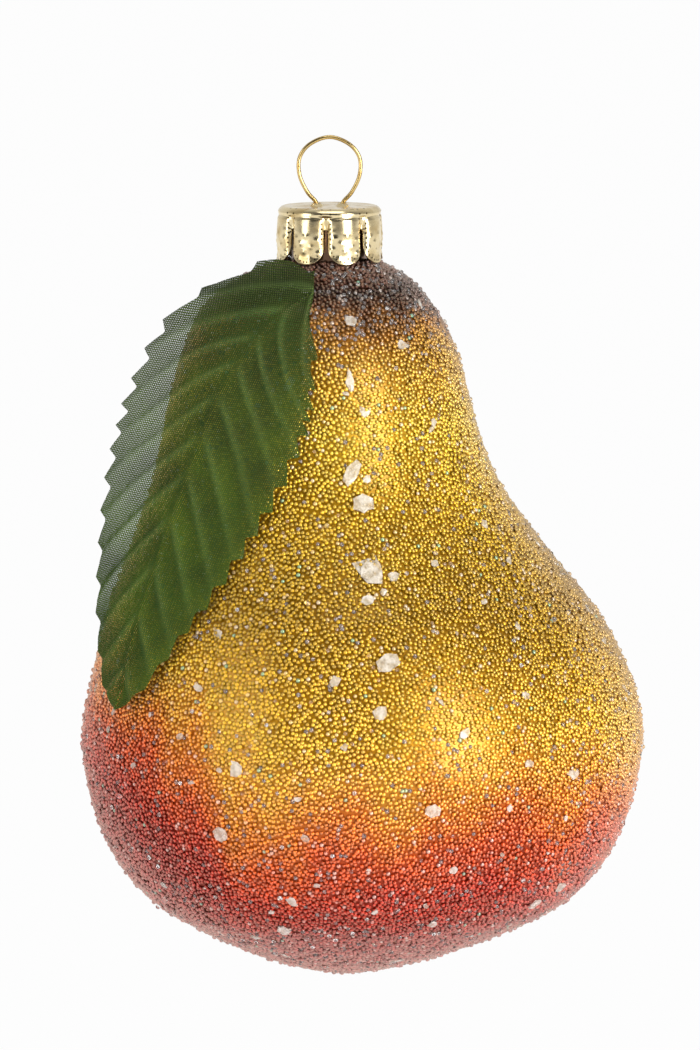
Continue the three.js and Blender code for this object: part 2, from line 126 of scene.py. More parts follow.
# Hanger wire, as in the part's own route
WIRE_RADIUS = 0.3 * MM
LOOP_HALF = 4.55 * MM
DISC_TOP = -9.7 * MM
LOOP_SHAPE = ((0.62, 0.1), (0.96, 0.3), (0.96, 0.56), (0.72, 0.8))
LEG_ROUTE = ((2.025, 0.55), (1.875, -0.4), (1.875, -4.6), (2.4375, -13.8), (3.0, -23.0))

# Stamped cap
CAP_RADIUS = 7.5 * MM
CAP_HEIGHT = 8.1 * MM
CAP_WALL = 0.3 * MM
CAP_ROUND = 0.9 * MM
RIM_PROUD = 0.06 * MM            # the disc's rolled rim stands out over the band
RIM_WIDTH = 0.22 * MM
GROOVE_DEPTH = 0.08 * MM         # under the rim
GROOVE_DROP = 0.35 * MM
GROOVE_WIDTH = 0.16 * MM
BAND_HEIGHT = 3.0 * MM
TAB_COUNT = 8
TAB_COLUMNS = 36
GAP_COLUMNS = 3
TAB_PITCH = math.tau / TAB_COUNT
GAP_TURN = math.tau / (TAB_COUNT * TAB_COLUMNS) * GAP_COLUMNS / 2  # half of the gap between two tabs
TAB_MIDDLE = math.radians(18.3 - 90)
TAB_STEP = 0.16 * MM             # of the tabs out of the groove, and the height it takes
STEP_RUN = 0.8 * MM
TAB_BULGE = 0.28 * MM            # of a tab's middle, over the whole height of the tab
BULGE_MIDDLE = 4.2 * MM
BULGE_REACH = 2.6 * MM
TAB_FLARE = 0.22 * MM            # of the tabs' ends, and the height it takes
FLARE_RUN = 1.2 * MM
PUCKER_DEPTH = 0.32 * MM
PUCKER_WIDTH = 0.5 * MM
VALLEY_DEPTH = 0.3 * MM          # between the tabs' upper parts
FLAT_TABS = 0.12 * MM            # how much flatter than the cap's round a tab is across
FLAT_RUN = 0.5 * MM
PLEATS = 7                       # small folds round the top of each gap
PLEAT_DEPTH = 0.06 * MM
PLEAT_REACH = 0.9 * MM
DOT_PROUD = 0.11 * MM
DOT_REACH = 0.32 * MM
# The tiny holes are not cut: they are painted on the cap as dark dots of shade
PRICK_PITCH = 0.72               # between the tiny holes along a tab's edge, in millimetres
PRICK_INSET = 0.42               # from the tab's edge, in millimetres
PRICK_RADII = (0.1, 0.17)        # where a hole starts to pale and where it ends, in millimetres
NO_EDGE = 5.0                    # what a point of the disc has as its distance from a tab's edge
SLOT_SIDE = (1.275 * MM, 2.475 * MM)
SLOT_HALF = 0.95 * MM
LIP_RISE = 0.34 * MM
LIP_WIDTH = 0.28 * MM

# Embossed dots on a tab: distance across from its middle, and below the disc
TAB_DOTS = ((-1.7, -4.2), (0.1, -3.9), (1.7, -4.5), (-0.8, -5.0), (0.9, -5.5),
            (-1.9, -5.8), (-0.3, -6.2), (1.8, -6.4), (-1.1, -7.1), (0.6, -7.2))

# Pressed leaf
LEAF_LIFT = 1.45 * MM            # from the crust's outline to the sheet
LEAF_SHEET = 0.08 * MM
LEAF_BEND = 60 * MM
LEAF_TOP = -20.6 * MM
LEAF_DROP = 60 * MM
LEAF_TURNS = (8, 38)             # degrees from the camera side, at its base and its tip
LEAF_HALF_WIDTH = 15.9 * MM
LEAF_TAPERS = (0.58, 0.69)       # how quickly the margins spread from the base and close to the tip
LEAF_BASE = 2.8 * MM             # half of the straight cut at the base
MIDRIB_SWAY = 14.5 * MM
MIDRIB = ((-0.05, 0), (0.32, 0.1), (0.57, 0.22), (0.73, 0.39), (0.9, 0.58), (1, 0.79), (0.97, 1))
TEETH = 16
TOOTH_ROWS = 11
TOOTH_DEPTH = 1.75 * MM
TOOTH_BACK = 0.2                 # share of a tooth's pitch that its short edge takes
TOOTH_SWEEP = 0.12               # share of the length that a row runs forward to the margin
SWEEP_SETTLE = 0.2
BASE_SHEAR = 0.045               # share of the length by which the cut at the base is oblique
SHEAR_END = 0.06
LEAF_SHOULDER = 1.1 * MM         # how much fuller the leaf's left side is near its base
SHOULDER_PLACE = 0.07            # share of the length where it is fullest
VEINS = 11
VEIN_SLANT = 1.15                # how far a vein runs forward for each step sideways
VEIN_RELIEF = 0.3 * MM
LEAF_DROOP = 0.3 * MM            # slow waves of its margins
LEAF_TUCK = 0.9 * MM             # how far the base is pressed down under the cap's tabs
TUCK_HEIGHTS = (-22.5 * MM, -18.6 * MM)
RIB_WIDTH = 0.035                # share of the half width
LEAF_COLUMNS = 30                # on each side of the midrib
LEAF_LENGTH = 66.0 * MM          # along the flat midrib
CHART_SCALE = 10                 # of the weave's chart, to a metre
WEAVE_PITCH = 0.3                # between two threads, in millimetres
WEAVE_OPEN = (0.64, 0.77)        # a thread's height at which a hole ends and at which it is solid
WARP_SLANT = 0.30                # how far the steep threads lean from the upright
WEFT_SLANT = -0.08

# Glue under the leaf's base
GLUE_SIZE = (2.4 * MM, 1.44 * MM, 0.62 * MM)
GLUE_TURN = 12
GLUE_HEIGHT = -23.9 * MM

# Shades of the lacquer from the cap down, as seen on screen, and how far they stray up and down. Besides the
# lacquer's colour, the paler stops at 0.13 to 0.22 and 0.61 to 0.67 carry painted highlight where the neck
# and belly catch the key light, and the olive stops round 0.45 partly carry painted reflection of the dark
# room in front
SHADE_DRIFT = 0.09
LACQUER_SHADES = (
    (0.00, (86, 44, 26)), (0.030, (42, 22, 20)), (0.062, (88, 50, 24)), (0.090, (150, 100, 24)),
    (0.13, (190, 148, 44)), (0.22, (206, 172, 44)), (0.32, (188, 150, 20)), (0.45, (168, 130, 12)),
    (0.53, (188, 146, 20)), (0.61, (212, 166, 42)), (0.67, (218, 155, 44)), (0.72, (216, 122, 32)),
    (0.78, (196, 74, 22)), (0.84, (174, 42, 24)), (0.90, (150, 42, 38)), (1.00, (168, 88, 82)),
)

rng = np.random.default_rng(SEED)


def node(tree, kind, inputs=None, **settings):
    """Adds a node; each input takes a value or the output socket that feeds it."""
    made = tree.nodes.new(kind)
    for name, value in settings.items():
        setattr(made, name, value)
    for name, value in (inputs or {}).items():
        if isinstance(value, bpy.types.NodeSocket):
            feed(made, name, value)
        else:
            made.inputs[name].default_value = value
    return made


def feed(made, name, value):
    """Links an output socket into a node's input."""
    made.id_data.links.new(value, made.inputs[name])


def ramp(factor, stops, interpolation="LINEAR"):
    """A colour ramp from (place, colour) stops; a colour is three linear values or one grey."""
    made = node(factor.id_data, "ShaderNodeValToRGB", {"Fac": factor})
    elements = made.color_ramp.elements
    made.color_ramp.interpolation = interpolation
    while len(elements) < len(stops):
        elements.new(0.5)
    for element, (place, colour) in zip(elements, stops):
        element.position = place
        shade = (colour,) * 3 if isinstance(colour, (int, float)) else colour
        element.color = (*shade, 1)
    return made.outputs["Color"]


def mix(tree, factor, first, second, blend="MIX"):
    """Mixes two colours."""
    return node(tree, "ShaderNodeMix", {0: factor, 6: first, 7: second},
                data_type="RGBA", blend_type=blend).outputs[2]


def maths(operation, first, second=0.0):
    return node(first.id_data, "ShaderNodeMath", {0: first, 1: second}, operation=operation).outputs[0]


def plus(first, second):
    return maths("ADD", first, second)


def times(first, second):
    return maths("MULTIPLY", first, second)


def noise(place, scale, detail=2.0):
    return node(place.id_data, "ShaderNodeTexNoise", {
        "Vector": place, "Scale": scale, "Detail": detail}).outputs[0]


def remap(value, low, high, start=0.0, end=1.0, **settings):
    """Maps the range from low to high onto that from start to end, and stops at both."""
    ends = {"Value": value, "From Min": low, "From Max": high, "To Min": start, "To Max": end}
    return node(value.id_data, "ShaderNodeMapRange", ends, **settings).outputs[0]


def parts_of(place):
    """The three parts of a vector."""
    return node(place.id_data, "ShaderNodeSeparateXYZ", {0: place}).outputs


def carried(tree, name, output="Fac"):
    """A value that a mesh carries at its points."""
    return node(tree, "ShaderNodeAttribute", attribute_name=name).outputs[output]


def srgb(red, green, blue):
    """Linear colour of a swatch that reads red, green, blue from 0 to 255 on screen."""
    return tuple((c / 255 / 12.92) if c <= 10 else ((c / 255 + 0.055) / 1.055) ** 2.4
                 for c in (red, green, blue))


def material(name, **surface):
    """A Principled material with plain values on its sockets. Returns material, tree and shader."""
    made = bpy.data.materials.new(name)
    made.use_nodes = True
    shader = made.node_tree.nodes["Principled BSDF"]
    for socket, value in surface.items():
        shader.inputs[socket.replace("_", " ")].default_value = value
    return made, made.node_tree, shader


def add_object(name, data):
    made = bpy.data.objects.new(name, data)
    bpy.context.scene.collection.objects.link(made)
    return made


# Camera and stage
def photo_camera():
    elevation = math.radians(VIEW_ELEVATION)
    back = Vector((0, -math.cos(elevation), math.sin(elevation)))
    data = bpy.data.cameras.new("photo_camera")
    data.sensor_width = SENSOR
    data.lens = SENSOR * VIEW_DISTANCE / VIEW_HEIGHT
    data.clip_start = 10 * MM
    camera = add_object("photo_camera", data)
    camera.location = VIEW_AIM + back * VIEW_DISTANCE
    camera.rotation_euler = (-back).to_track_quat("-Z", "Y").to_euler()
    bpy.context.scene.camera = camera


def seen_straight(path):
    """1 for what the camera sees, by itself or through glass."""
    return maths("MAXIMUM", path.outputs["Is Camera Ray"], path.outputs["Is Transmission Ray"])


def studio_world():
    """A white surround for the camera and through glass; gloss sees it darker behind the camera."""
    world = bpy.data.worlds.new("studio")
    world.use_nodes = True
    tree = world.node_tree
    path = node(tree, "ShaderNodeLightPath")
    direction = node(tree, "ShaderNodeTexCoord").outputs["Generated"]
    _, depth, _ = parts_of(direction)
    room = ramp(remap(depth, -1.0, 1.0), GLOSS_ROOM)
    lit = mix(tree, path.outputs["Is Glossy Ray"], (ROOM_LIGHT,) * 3 + (1,), room)
    surround = mix(tree, seen_straight(path), lit, (1, 1, 1, 1))
    feed(tree.nodes["Background"], "Color", surround)
    bpy.context.scene.world = world


def pale_floor():
    """A white floor far below. Most of its white is its own; the rest takes light and shadow."""
    paint, tree, shader = material("floor_white", Base_Color=(FLOOR_WHITE,) * 3 + (1,), Roughness=0.9)
    path = node(tree, "ShaderNodeLightPath")
    seen = maths("MAXIMUM", seen_straight(path), path.outputs["Is Glossy Ray"])
    own = node(tree, "ShaderNodeEmission", {"Color": (1, 1, 1, 1), "Strength": 1.0})
    mixed = node(tree, "ShaderNodeMixShader", {
        0: times(seen, FLOOR_OWN_WHITE), 1: shader.outputs[0], 2: own.outputs[0]})
    feed(tree.nodes["Material Output"], "Surface", mixed.outputs[0])
    bm = bmesh.new()
    bmesh.ops.create_grid(bm, x_segments=1, y_segments=1, size=FLOOR_SIDE / 2)
    bmesh.ops.translate(bm, verts=bm.verts, vec=(0, 0, CAD_BOX[0].z - FLOOR_DROP))
    floor = piece("floor", bm, paint)


def lamp(name, azimuth, elevation, distance, width, height, power):
    """A softbox that faces the belly. Azimuth is from the camera side, + to the right."""
    a, e = math.radians(azimuth), math.radians(elevation)
    out = Vector((math.sin(a) * math.cos(e), -math.cos(a) * math.cos(e), math.sin(e)))
    data = bpy.data.lights.new(name, "AREA")
    data.shape = "RECTANGLE"
    data.size, data.size_y, data.energy = width, height, power
    box = add_object(name, data)
    box.location = VIEW_AIM + out * distance
    box.rotation_euler = out.to_track_quat("Z", "Y").to_euler()


# Shapes
def piece(name, bm, paint, smooth=True):
    """Turns a bmesh into an object of that name."""
    mesh = bpy.data.meshes.new(name)
    bm.to_mesh(mesh)
    bm.free()
    mesh.materials.append(paint)
    mesh.polygons.foreach_set("use_smooth", [smooth] * len(mesh.polygons))
    return add_object(name, mesh)


def turned(points, steps):
    """A bmesh of a line of points, spun once round +Z."""
    bm = bmesh.new()
    line = [bm.verts.new(point) for point in points]
    edges = [bm.edges.new(pair) for pair in zip(line, line[1:])]
    bmesh.ops.spin(bm, geom=[*line, *edges], cent=(0, 0, 0), axis=(0, 0, 1),
                   angle=math.tau, steps=steps, use_merge=True)
    bmesh.ops.remove_doubles(bm, verts=bm.verts, dist=TOUCH)
    return bm


def outline_rings():
    """Rows of radius, lean and height, from the crust's edge under the cap down to the bottom."""
    mesh = NODES["bead_crust"].data
    belly = Vector((sum(c.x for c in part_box("bead_crust")) / 2, 0, -86 * MM))
    levels = {}
    for face in mesh.polygons:
        if face.normal.dot(face.center - belly) > 0:
            for i in face.vertices:
                place = mesh.vertices[i].co
                levels.setdefault(round(place.z * 1e6), []).append(place)
    rings = []
    for places in levels.values():
        left, right = min(p.x for p in places), max(p.x for p in places)
        depth = max(p.y for p in places) - min(p.y for p in places)
        if abs(right - left - depth) < 0.02 * depth + TOUCH:
            rings.append(((right - left) / 2, (right + left) / 2, places[0].z))
    return np.array(sorted(rings, key=lambda ring: -ring[2]))


def unit(vectors):
    return vectors / np.linalg.norm(vectors, axis=-1, keepdims=True)


def curve_through(points, places):
    """The smooth curve through points, at places that run from 0 at the first to 1 at the last."""
    points = np.asarray(points, float)
    last = len(points) - 1
    at = np.clip(np.asarray(places, float), 0, 1) * last
    i = np.minimum(at.astype(int), last - 1)
    t = (at - i)[:, None]
    a, b, c, d = (points[np.clip(i + k, 0, last)] for k in (-1, 0, 1, 2))
    return 0.5 * (2 * b + (c - a) * t + (2 * a - 5 * b + 4 * c - d) * t**2
                  + (3 * b - a - 3 * c + d) * t**3)


def evenly(points, steps):
    """The same line in equal steps, with how far along it each of them is."""
    length = np.concatenate([[0], np.cumsum(np.linalg.norm(np.diff(points, axis=0), axis=1))])
    at = np.linspace(0, length[-1], steps + 1)
    return np.column_stack([np.interp(at, length, column) for column in points.T]), at


OUTLINE, OUTLINE_RUN = evenly(curve_through(outline_rings(), np.linspace(0, 1, 600)), 1500)
SLOPES = np.gradient(OUTLINE, OUTLINE_RUN, axis=0)
TOP_HEIGHT = float(OUTLINE[0, 2])
PEAR_HEIGHT = float(OUTLINE[0, 2] - OUTLINE[-1, 2])
CAMERA_SIDE = -math.pi / 2


def on_pear(run, turn, lift=0.0):
    """Places and outward normals on the pear at a run down its outline and a turn from the right."""
    radius, lean, height = (np.interp(run, OUTLINE_RUN, column) for column in OUTLINE.T)
    d_radius, d_lean, d_height = (np.interp(run, OUTLINE_RUN, column) for column in SLOPES.T)
    c, s = np.cos(turn), np.sin(turn)
    normal = unit(np.stack([-d_height * c, -d_height * s, d_lean * c + d_radius], axis=-1))
    place = np.stack([lean + radius * c, radius * s, height], axis=-1)
    return place + normal * lift, normal


def run_at(height):
    return float(np.interp(-height, -OUTLINE[:, 2], OUTLINE_RUN))


def seat_on_pear(run, turn, lift, spin=0.0, tilt=0.0):
    """The placing that lays a flat thing on the pear: its own +Z becomes outwards."""
    place, normal = on_pear(run, turn, lift)
    normal = Vector(normal)
    side = Vector((-math.sin(turn), math.cos(turn), 0))
    up = normal.cross(side)
    axes = Matrix((side, up, normal)).transposed().to_4x4()
    return Matrix.Translation(place) @ axes @ Matrix.Rotation(tilt, 4, "X") @ Matrix.Rotation(spin, 4, "Z")


# Shared finishes
def new_group(name, *sockets):
    """An empty node group; each socket is given as its name, way and type."""
    group = bpy.data.node_groups.new(name, "ShaderNodeTree")
    for title, way, kind in sockets:
        group.interface.new_socket(title, in_out=way, socket_type=f"NodeSocket{kind}")
    return group, node(group, "NodeGroupInput"), node(group, "NodeGroupOutput")


def placed(group, place, **inputs):
    """A group's outputs at a place, with its other inputs set or linked."""
    return node(place.id_data, "ShaderNodeGroup", {"Place": place, **inputs}, node_tree=group).outputs


def object_place(tree):
    return node(tree, "ShaderNodeTexCoord").outputs["Object"]


def lacquer_group():
    """The lacquer's colour by place: plum under the cap, gold and olive, orange, then red and rose, with
    paler rings of painted highlight at the neck and belly.
    """
    group, given, out = new_group(
        "lacquer_and_painted_highlight", ("Place", "INPUT", "Vector"), ("Colour", "OUTPUT", "Color"))
    place = given.outputs["Place"]
    x, _, z = parts_of(place)

    def eased(value, low, high, end):
        return remap(value, low, high, 0.0, end, interpolation_type="SMOOTHSTEP")

    share = remap(z, TOP_HEIGHT, TOP_HEIGHT - PEAR_HEIGHT)
    drift = noise(place, 60.0)
    stretched = node(group, "ShaderNodeMapping", {"Vector": place, "Scale": (170.0, 170.0, 45.0)}).outputs[0]
    streaks = noise(stretched, 1.0, 1.0)
    uneven = plus(times(drift, SHADE_DRIFT), times(streaks, SHADE_DRIFT))
    blush_edge = eased(x, -13.5 * MM, -18.5 * MM, 0.06)
    blush_depth = eased(x, -14 * MM, -40 * MM, 0.11)
    blush = times(plus(blush_edge, blush_depth), eased(share, 0.40, 0.53, 1.0))
    at = plus(plus(share, blush), maths("SUBTRACT", uneven, SHADE_DRIFT))
    feed(out, "Colour", ramp(at, [(down, srgb(*swatch)) for down, swatch in LACQUER_SHADES]))
    return group


def tarnish_group():
    """Fine unevenness of a plated surface: a roughness, a height and a mask of duller places."""
    group, given, out = new_group(
        "plated_unevenness", ("Place", "INPUT", "Vector"), ("Scale", "INPUT", "Float"),
        ("Roughness", "OUTPUT", "Float"), ("Height", "OUTPUT", "Float"), ("Dull", "OUTPUT", "Float"))
    place, scale = given.outputs["Place"], given.outputs["Scale"]
    cloud = noise(place, scale, 3.0)
    feed(out, "Height", noise(place, times(scale, 5.0)))
    feed(out, "Roughness", remap(cloud, 0.3, 0.7, 0.14, 0.34))
    feed(out, "Dull", remap(cloud, 0.45, 0.75))
    return group


LACQUER = lacquer_group()
TARNISH = tarnish_group()


def bumped(shader, height, strength, distance):
    bump = node(shader.id_data, "ShaderNodeBump", {
        "Height": height, "Strength": strength, "Distance": distance})
    feed(shader, "Normal", bump.outputs[0])


# Finishes of the pieces
def lacquer_finish():
    """What shows between the beads: the lacquer under glue, darkened and warmed as painted shade in the gaps.
    """
    paint, tree, shader = material("lacquered_glue", Metallic=0.55, Roughness=0.36,
                                   Specular_Tint=(1, 0.8, 0.5, 1), Coat_Weight=0.3, Coat_Roughness=0.2)
    place = object_place(tree)
    shaded = placed(LACQUER, place)["Colour"]
    # Painted shade: the lacquer's colour multiplied darker and warmer for the gaps between the beads
    feed(shader, "Base Color", mix(tree, 1.0, shaded, (0.8, 0.66, 0.38, 1), "MULTIPLY"))
    bumped(shader, noise(place, 2200.0, 1.0), 0.5, 0.08 * MM)
    return paint


def silvered_finish():
    """The blown glass under the crust, with its bare collar: silvered and lacquered."""
    paint, tree, shader = material("silvered_glass", Metallic=0.9, Coat_Weight=0.4, Coat_Roughness=0.03)
    place = object_place(tree)
    shaded = placed(LACQUER, place)["Colour"]
    feed(shader, "Base Color", mix(tree, 0.08, shaded, (0.75, 0.6, 0.32, 1)))
    feed(shader, "Roughness", placed(TARNISH, place, Scale=260.0)["Roughness"])
    return paint


def bead_finish():
    """Beads in the colour of the lacquer under them, with painted shade on their lower flanks and a painted
    glint on their tops. A few are paler, a few flash green or violet, and all get a painted pale reflection
    where the pear turns away."""
    paint, tree, shader = material("glass_beads", Metallic=0.72, Roughness=0.3,
                                   Specular_Tint=(1, 0.86, 0.62, 1), Coat_Weight=0.5, Coat_Roughness=0.1)
    tone, rise = carried(tree, "tone"), carried(tree, "rise")
    shaded = placed(LACQUER, object_place(tree))["Colour"]
    shade = ramp(tone, [(0.0, 0.85), (0.5, 1.25), (0.93, 1.7)])
    tinted = mix(tree, 1.0, shaded, shade, "MULTIPLY")
    clear = ramp(tone, [(0.0, 0.0), (0.95, 0.35), (0.98, 0.6), (0.996, 0.4)], "CONSTANT")
    cleared = mix(tree, clear, tinted, (0.62, 0.55, 0.5, 1))
    spark = ramp(tone, [(0.0, (0, 0, 0)), (0.996, srgb(50, 170, 140)), (0.9975, srgb(130, 90, 190)),
                        (0.999, srgb(70, 170, 60))], "CONSTANT")
    flashing = ramp(tone, [(0.0, 0.0), (0.996, 0.6)], "CONSTANT")
    coloured = mix(tree, flashing, cleared, spark)
    # Painted shade and light: each bead darker towards its foot and lighter towards its top, by its rise
    painted_flank_shade = mix(tree, 1.0, coloured, ramp(rise, [(0.0, 0.6), (0.5, 0.88), (0.95, 1.3)]), "MULTIPLY")
    # Painted highlight: the tops of the beads are mixed towards pale gold
    painted_glint = mix(tree, ramp(rise, [(0.7, 0.0), (1.0, 0.18)]), painted_flank_shade, (1.0, 0.9, 0.62, 1))
    # Painted reflection: a pale rose-white where the pear's surface turns away from view
    away = node(tree, "ShaderNodeLayerWeight", {
        "Blend": 0.5, "Normal": carried(tree, "outward", "Vector")}).outputs["Facing"]
    painted_grazing_sheen = ramp(away, [(0.45, 0.0), (0.8, 0.26), (1.0, 0.5)])
    feed(shader, "Base Color", mix(tree, painted_grazing_sheen, painted_glint, (*srgb(214, 194, 188), 1)))
    return paint


def clear_glass_finish():
    """Clear glass, a little smokier in places."""
    paint, tree, shader = material("clear_glass", Roughness=0.05, IOR=1.5, Transmission_Weight=0.92)
    smoke = noise(object_place(tree), 400.0)
    feed(shader, "Base Color", ramp(smoke, [(0.35, (0.91, 0.9, 0.88)), (0.6, (0.98, 0.97, 0.96))]))
    return paint


def shell_finish():
    """Thin pearly shell: pale, cloudy and a little see-through."""
    paint, tree, shader = material("pearly_shell", Roughness=0.32, Coat_Weight=0.5, Coat_Roughness=0.15)
    place = object_place(tree)
    cloud = noise(place, 900.0, 3.0)
    shaded = placed(LACQUER, place)["Colour"]
    pale = ramp(cloud, [(0.3, srgb(222, 208, 182)), (0.6, srgb(246, 240, 230))])
    feed(shader, "Base Color", mix(tree, 0.22, pale, shaded))
    feed(shader, "Alpha", remap(cloud, 0.3, 0.65, 0.3, 0.8))
    bumped(shader, cloud, 0.6, 0.12 * MM)
    return paint


def plated_finish(name, colour, dull_colour, scale):
    """Pale gold plating with fine unevenness and duller places."""
    paint, tree, shader = material(name, Metallic=1.0)
    uneven = placed(TARNISH, object_place(tree), Scale=scale)
    feed(shader, "Base Color", mix(tree, uneven["Dull"], (*colour, 1), (*dull_colour, 1)))
    feed(shader, "Roughness", uneven["Roughness"])
    bumped(shader, uneven["Height"], 0.1, 0.03 * MM)
    return paint, tree, shader


def cap_finish():
    """Plated sheet, with a row of tiny holes along the edges of its tabs painted on as dark dots of shade."""
    paint, tree, shader = plated_finish("stamped_plating", srgb(234, 216, 172), srgb(206, 180, 126), 420.0)
    part = maths("FRACT", maths("DIVIDE", carried(tree, "along"), PRICK_PITCH))
    step = times(maths("SUBTRACT", part, 0.5), PRICK_PITCH)
    inset = maths("SUBTRACT", carried(tree, "edge"), PRICK_INSET)
    distance = maths("SQRT", plus(times(step, step), times(inset, inset)))
    # Painted shade: dark dots stand for the tiny holes, which the sheet doesn't have
    painted_hole_shade = remap(distance, *PRICK_RADII, 1.0, 0.0)
    plating = shader.inputs["Base Color"].links[0].from_socket
    feed(shader, "Base Color", mix(tree, painted_hole_shade, plating, (*srgb(70, 50, 22), 1)))
    return paint


def leaf_finish():
    """Stiffened open-weave cloth: two sets of threads, printed green, with painted highlight along its raised
    vein ridges.
    """
    paint, tree, shader = material("woven_green", Roughness=0.75, Specular_IOR_Level=0.2)
    chart = node(tree, "ShaderNodeUVMap", uv_map="weave").outputs[0]
    to_mm = 1 / (CHART_SCALE * MM)
    place = node(tree, "ShaderNodeMapping", {"Vector": chart, "Scale": (to_mm, to_mm, 1.0)}).outputs[0]
    x, y, _ = parts_of(place)
    wobble = noise(place, 0.5, 1.0)

    def threads(across, along, slant):
        measured = plus(plus(across, times(along, slant)), times(wobble, 0.25))
        return maths("ABSOLUTE", maths("SINE", times(measured, math.pi / WEAVE_PITCH)))

    warp, weft = threads(x, y, WARP_SLANT), threads(y, x, WEFT_SLANT)
    high = maths("MAXIMUM", warp, weft)
    both = times(warp, weft)
    cloud = noise(place, 0.16, 3.0)
    printed = ramp(cloud, [(0.3, srgb(30, 52, 6)), (0.65, srgb(58, 82, 14))])
    lighter = ramp(remap(y, -20.0, -60.0), [(0.0, 0.42), (0.45, 0.88), (1.0, 1.25)])
    printed = mix(tree, 1.0, printed, lighter, "MULTIPLY")
    # Painted highlight: the raised vein ridges are mixed towards a paler green
    printed = mix(tree, times(carried(tree, "vein"), 0.3), printed, (*srgb(112, 142, 76), 1))
    fleck = remap(both, 0.7, 1.0, 0.0, 0.5)
    feed(shader, "Base Color", mix(tree, fleck, printed, (*srgb(150, 168, 80), 1)))
    feed(shader, "Alpha", remap(high, *WEAVE_OPEN))
    bumped(shader, high, 0.8, 0.1 * MM)
    return paint


def glue_finish():
    """Cured clear glue, slightly amber and cloudy."""
    paint, tree, shader = material("cured_glue", Roughness=0.14, Coat_Weight=0.8, Coat_Roughness=0.05,
                                   Subsurface_Weight=0.3, Subsurface_Scale=1.0 * MM)
    cloud = noise(object_place(tree), 500.0)
    feed(shader, "Base Color", ramp(cloud, [(0.35, srgb(150, 110, 60)), (0.7, srgb(206, 178, 126))]))
    bumped(shader, cloud, 0.4, 0.1 * MM)
    return paint


# Crust
def lacquer_skin(paint):
    """The glue line between the beads, turned to the pear's outline and closed at its top edge."""
    runs = np.linspace(0, OUTLINE_RUN[-1], 260)
    places, _ = on_pear(runs, 0.0, -LACQUER_SINK)
    leans = np.interp(runs, OUTLINE_RUN, OUTLINE[:, 1])
    across, heights = places[:, 0] - leans, places[:, 2]
    edge = (across[0] - CRUST_EDGE, 0, heights[0] - CRUST_EDGE)
    side = [(x, 0, z) for x, z in zip(across[:-1], heights)]
    bm = turned([edge, *side, (0, 0, heights[-1])], 160)
    for v in bm.verts:
        v.co.x += float(np.interp(-v.co.z, -heights, leans))
    bmesh.ops.recalc_face_normals(bm, faces=bm.faces)
    return piece("lacquer_skin", bm, paint)


def bead_shape():
    """A bead as it shows above the glue: a low dome, flat below, as places and triangles."""
    bm = bmesh.new()
    bmesh.ops.create_uvsphere(bm, u_segments=6, v_segments=4, radius=1.0)
    bmesh.ops.bisect_plane(bm, geom=[*bm.verts, *bm.edges, *bm.faces], dist=0.01,
                           plane_co=(0, 0, 0), plane_no=(0, 0, 1), clear_inner=True)
    bmesh.ops.holes_fill(bm, edges=[e for e in bm.edges if e.is_boundary], sides=0)
    bmesh.ops.triangulate(bm, faces=bm.faces)
    places = np.array([v.co for v in bm.verts])
    corners = np.array([[v.index for v in f.verts] for f in bm.faces])
    bm.free()
    return places, corners


def bead_sites():
    """Random places for beads, none too near to another: runs down the outline and turns."""
    ring = math.tau * OUTLINE[:, 0]
    cover = np.concatenate([[0], np.cumsum((ring[1:] + ring[:-1]) / 2 * np.diff(OUTLINE_RUN))])
    tries = int(cover[-1] * BEAD_TRIES / BEAD_APART**2)
    run = np.interp(rng.uniform(0, cover[-1], tries), cover, OUTLINE_RUN)
    turn = rng.uniform(0, math.tau, tries)
    places, _ = on_pear(run, turn)
    tree = KDTree(tries)
    for i, place in enumerate(places):
        tree.insert(place, i)
    tree.balance()
    free = np.ones(tries, bool)
    for i in range(tries):
        if free[i]:
            for _, near, _ in tree.find_range(places[i], BEAD_APART):
                if near > i:
                    free[near] = False
    return run[free], turn[free]


def mesh_of_copies(name, places, corners, normals, chart, values):
    """A smooth mesh from arrays of places, triangles, normals, a bake chart and point values."""
    mesh = bpy.data.meshes.new(name)
    mesh.vertices.add(len(places))
    mesh.vertices.foreach_set("co", places.astype(np.float32).ravel())
    mesh.loops.add(corners.size)
    mesh.loops.foreach_set("vertex_index", corners.astype(np.int32).ravel())
    mesh.polygons.add(len(corners))
    mesh.polygons.foreach_set("loop_start", np.arange(0, corners.size, 3, dtype=np.int32))
    mesh.polygons.foreach_set("use_smooth", np.ones(len(corners), bool))
    mesh.update(calc_edges=True)
    mesh.normals_split_custom_set_from_vertices(normals.astype(np.float32))
    mesh.uv_layers.new(name="OFBake").uv.foreach_set("vector", chart[corners].astype(np.float32).ravel())
    for label, value in values.items():
        kind, field = ("FLOAT_VECTOR", "vector") if value.ndim == 2 else ("FLOAT", "value")
        mesh.attributes.new(label, kind, "POINT").data.foreach_set(field, value.astype(np.float32).ravel())
    return mesh


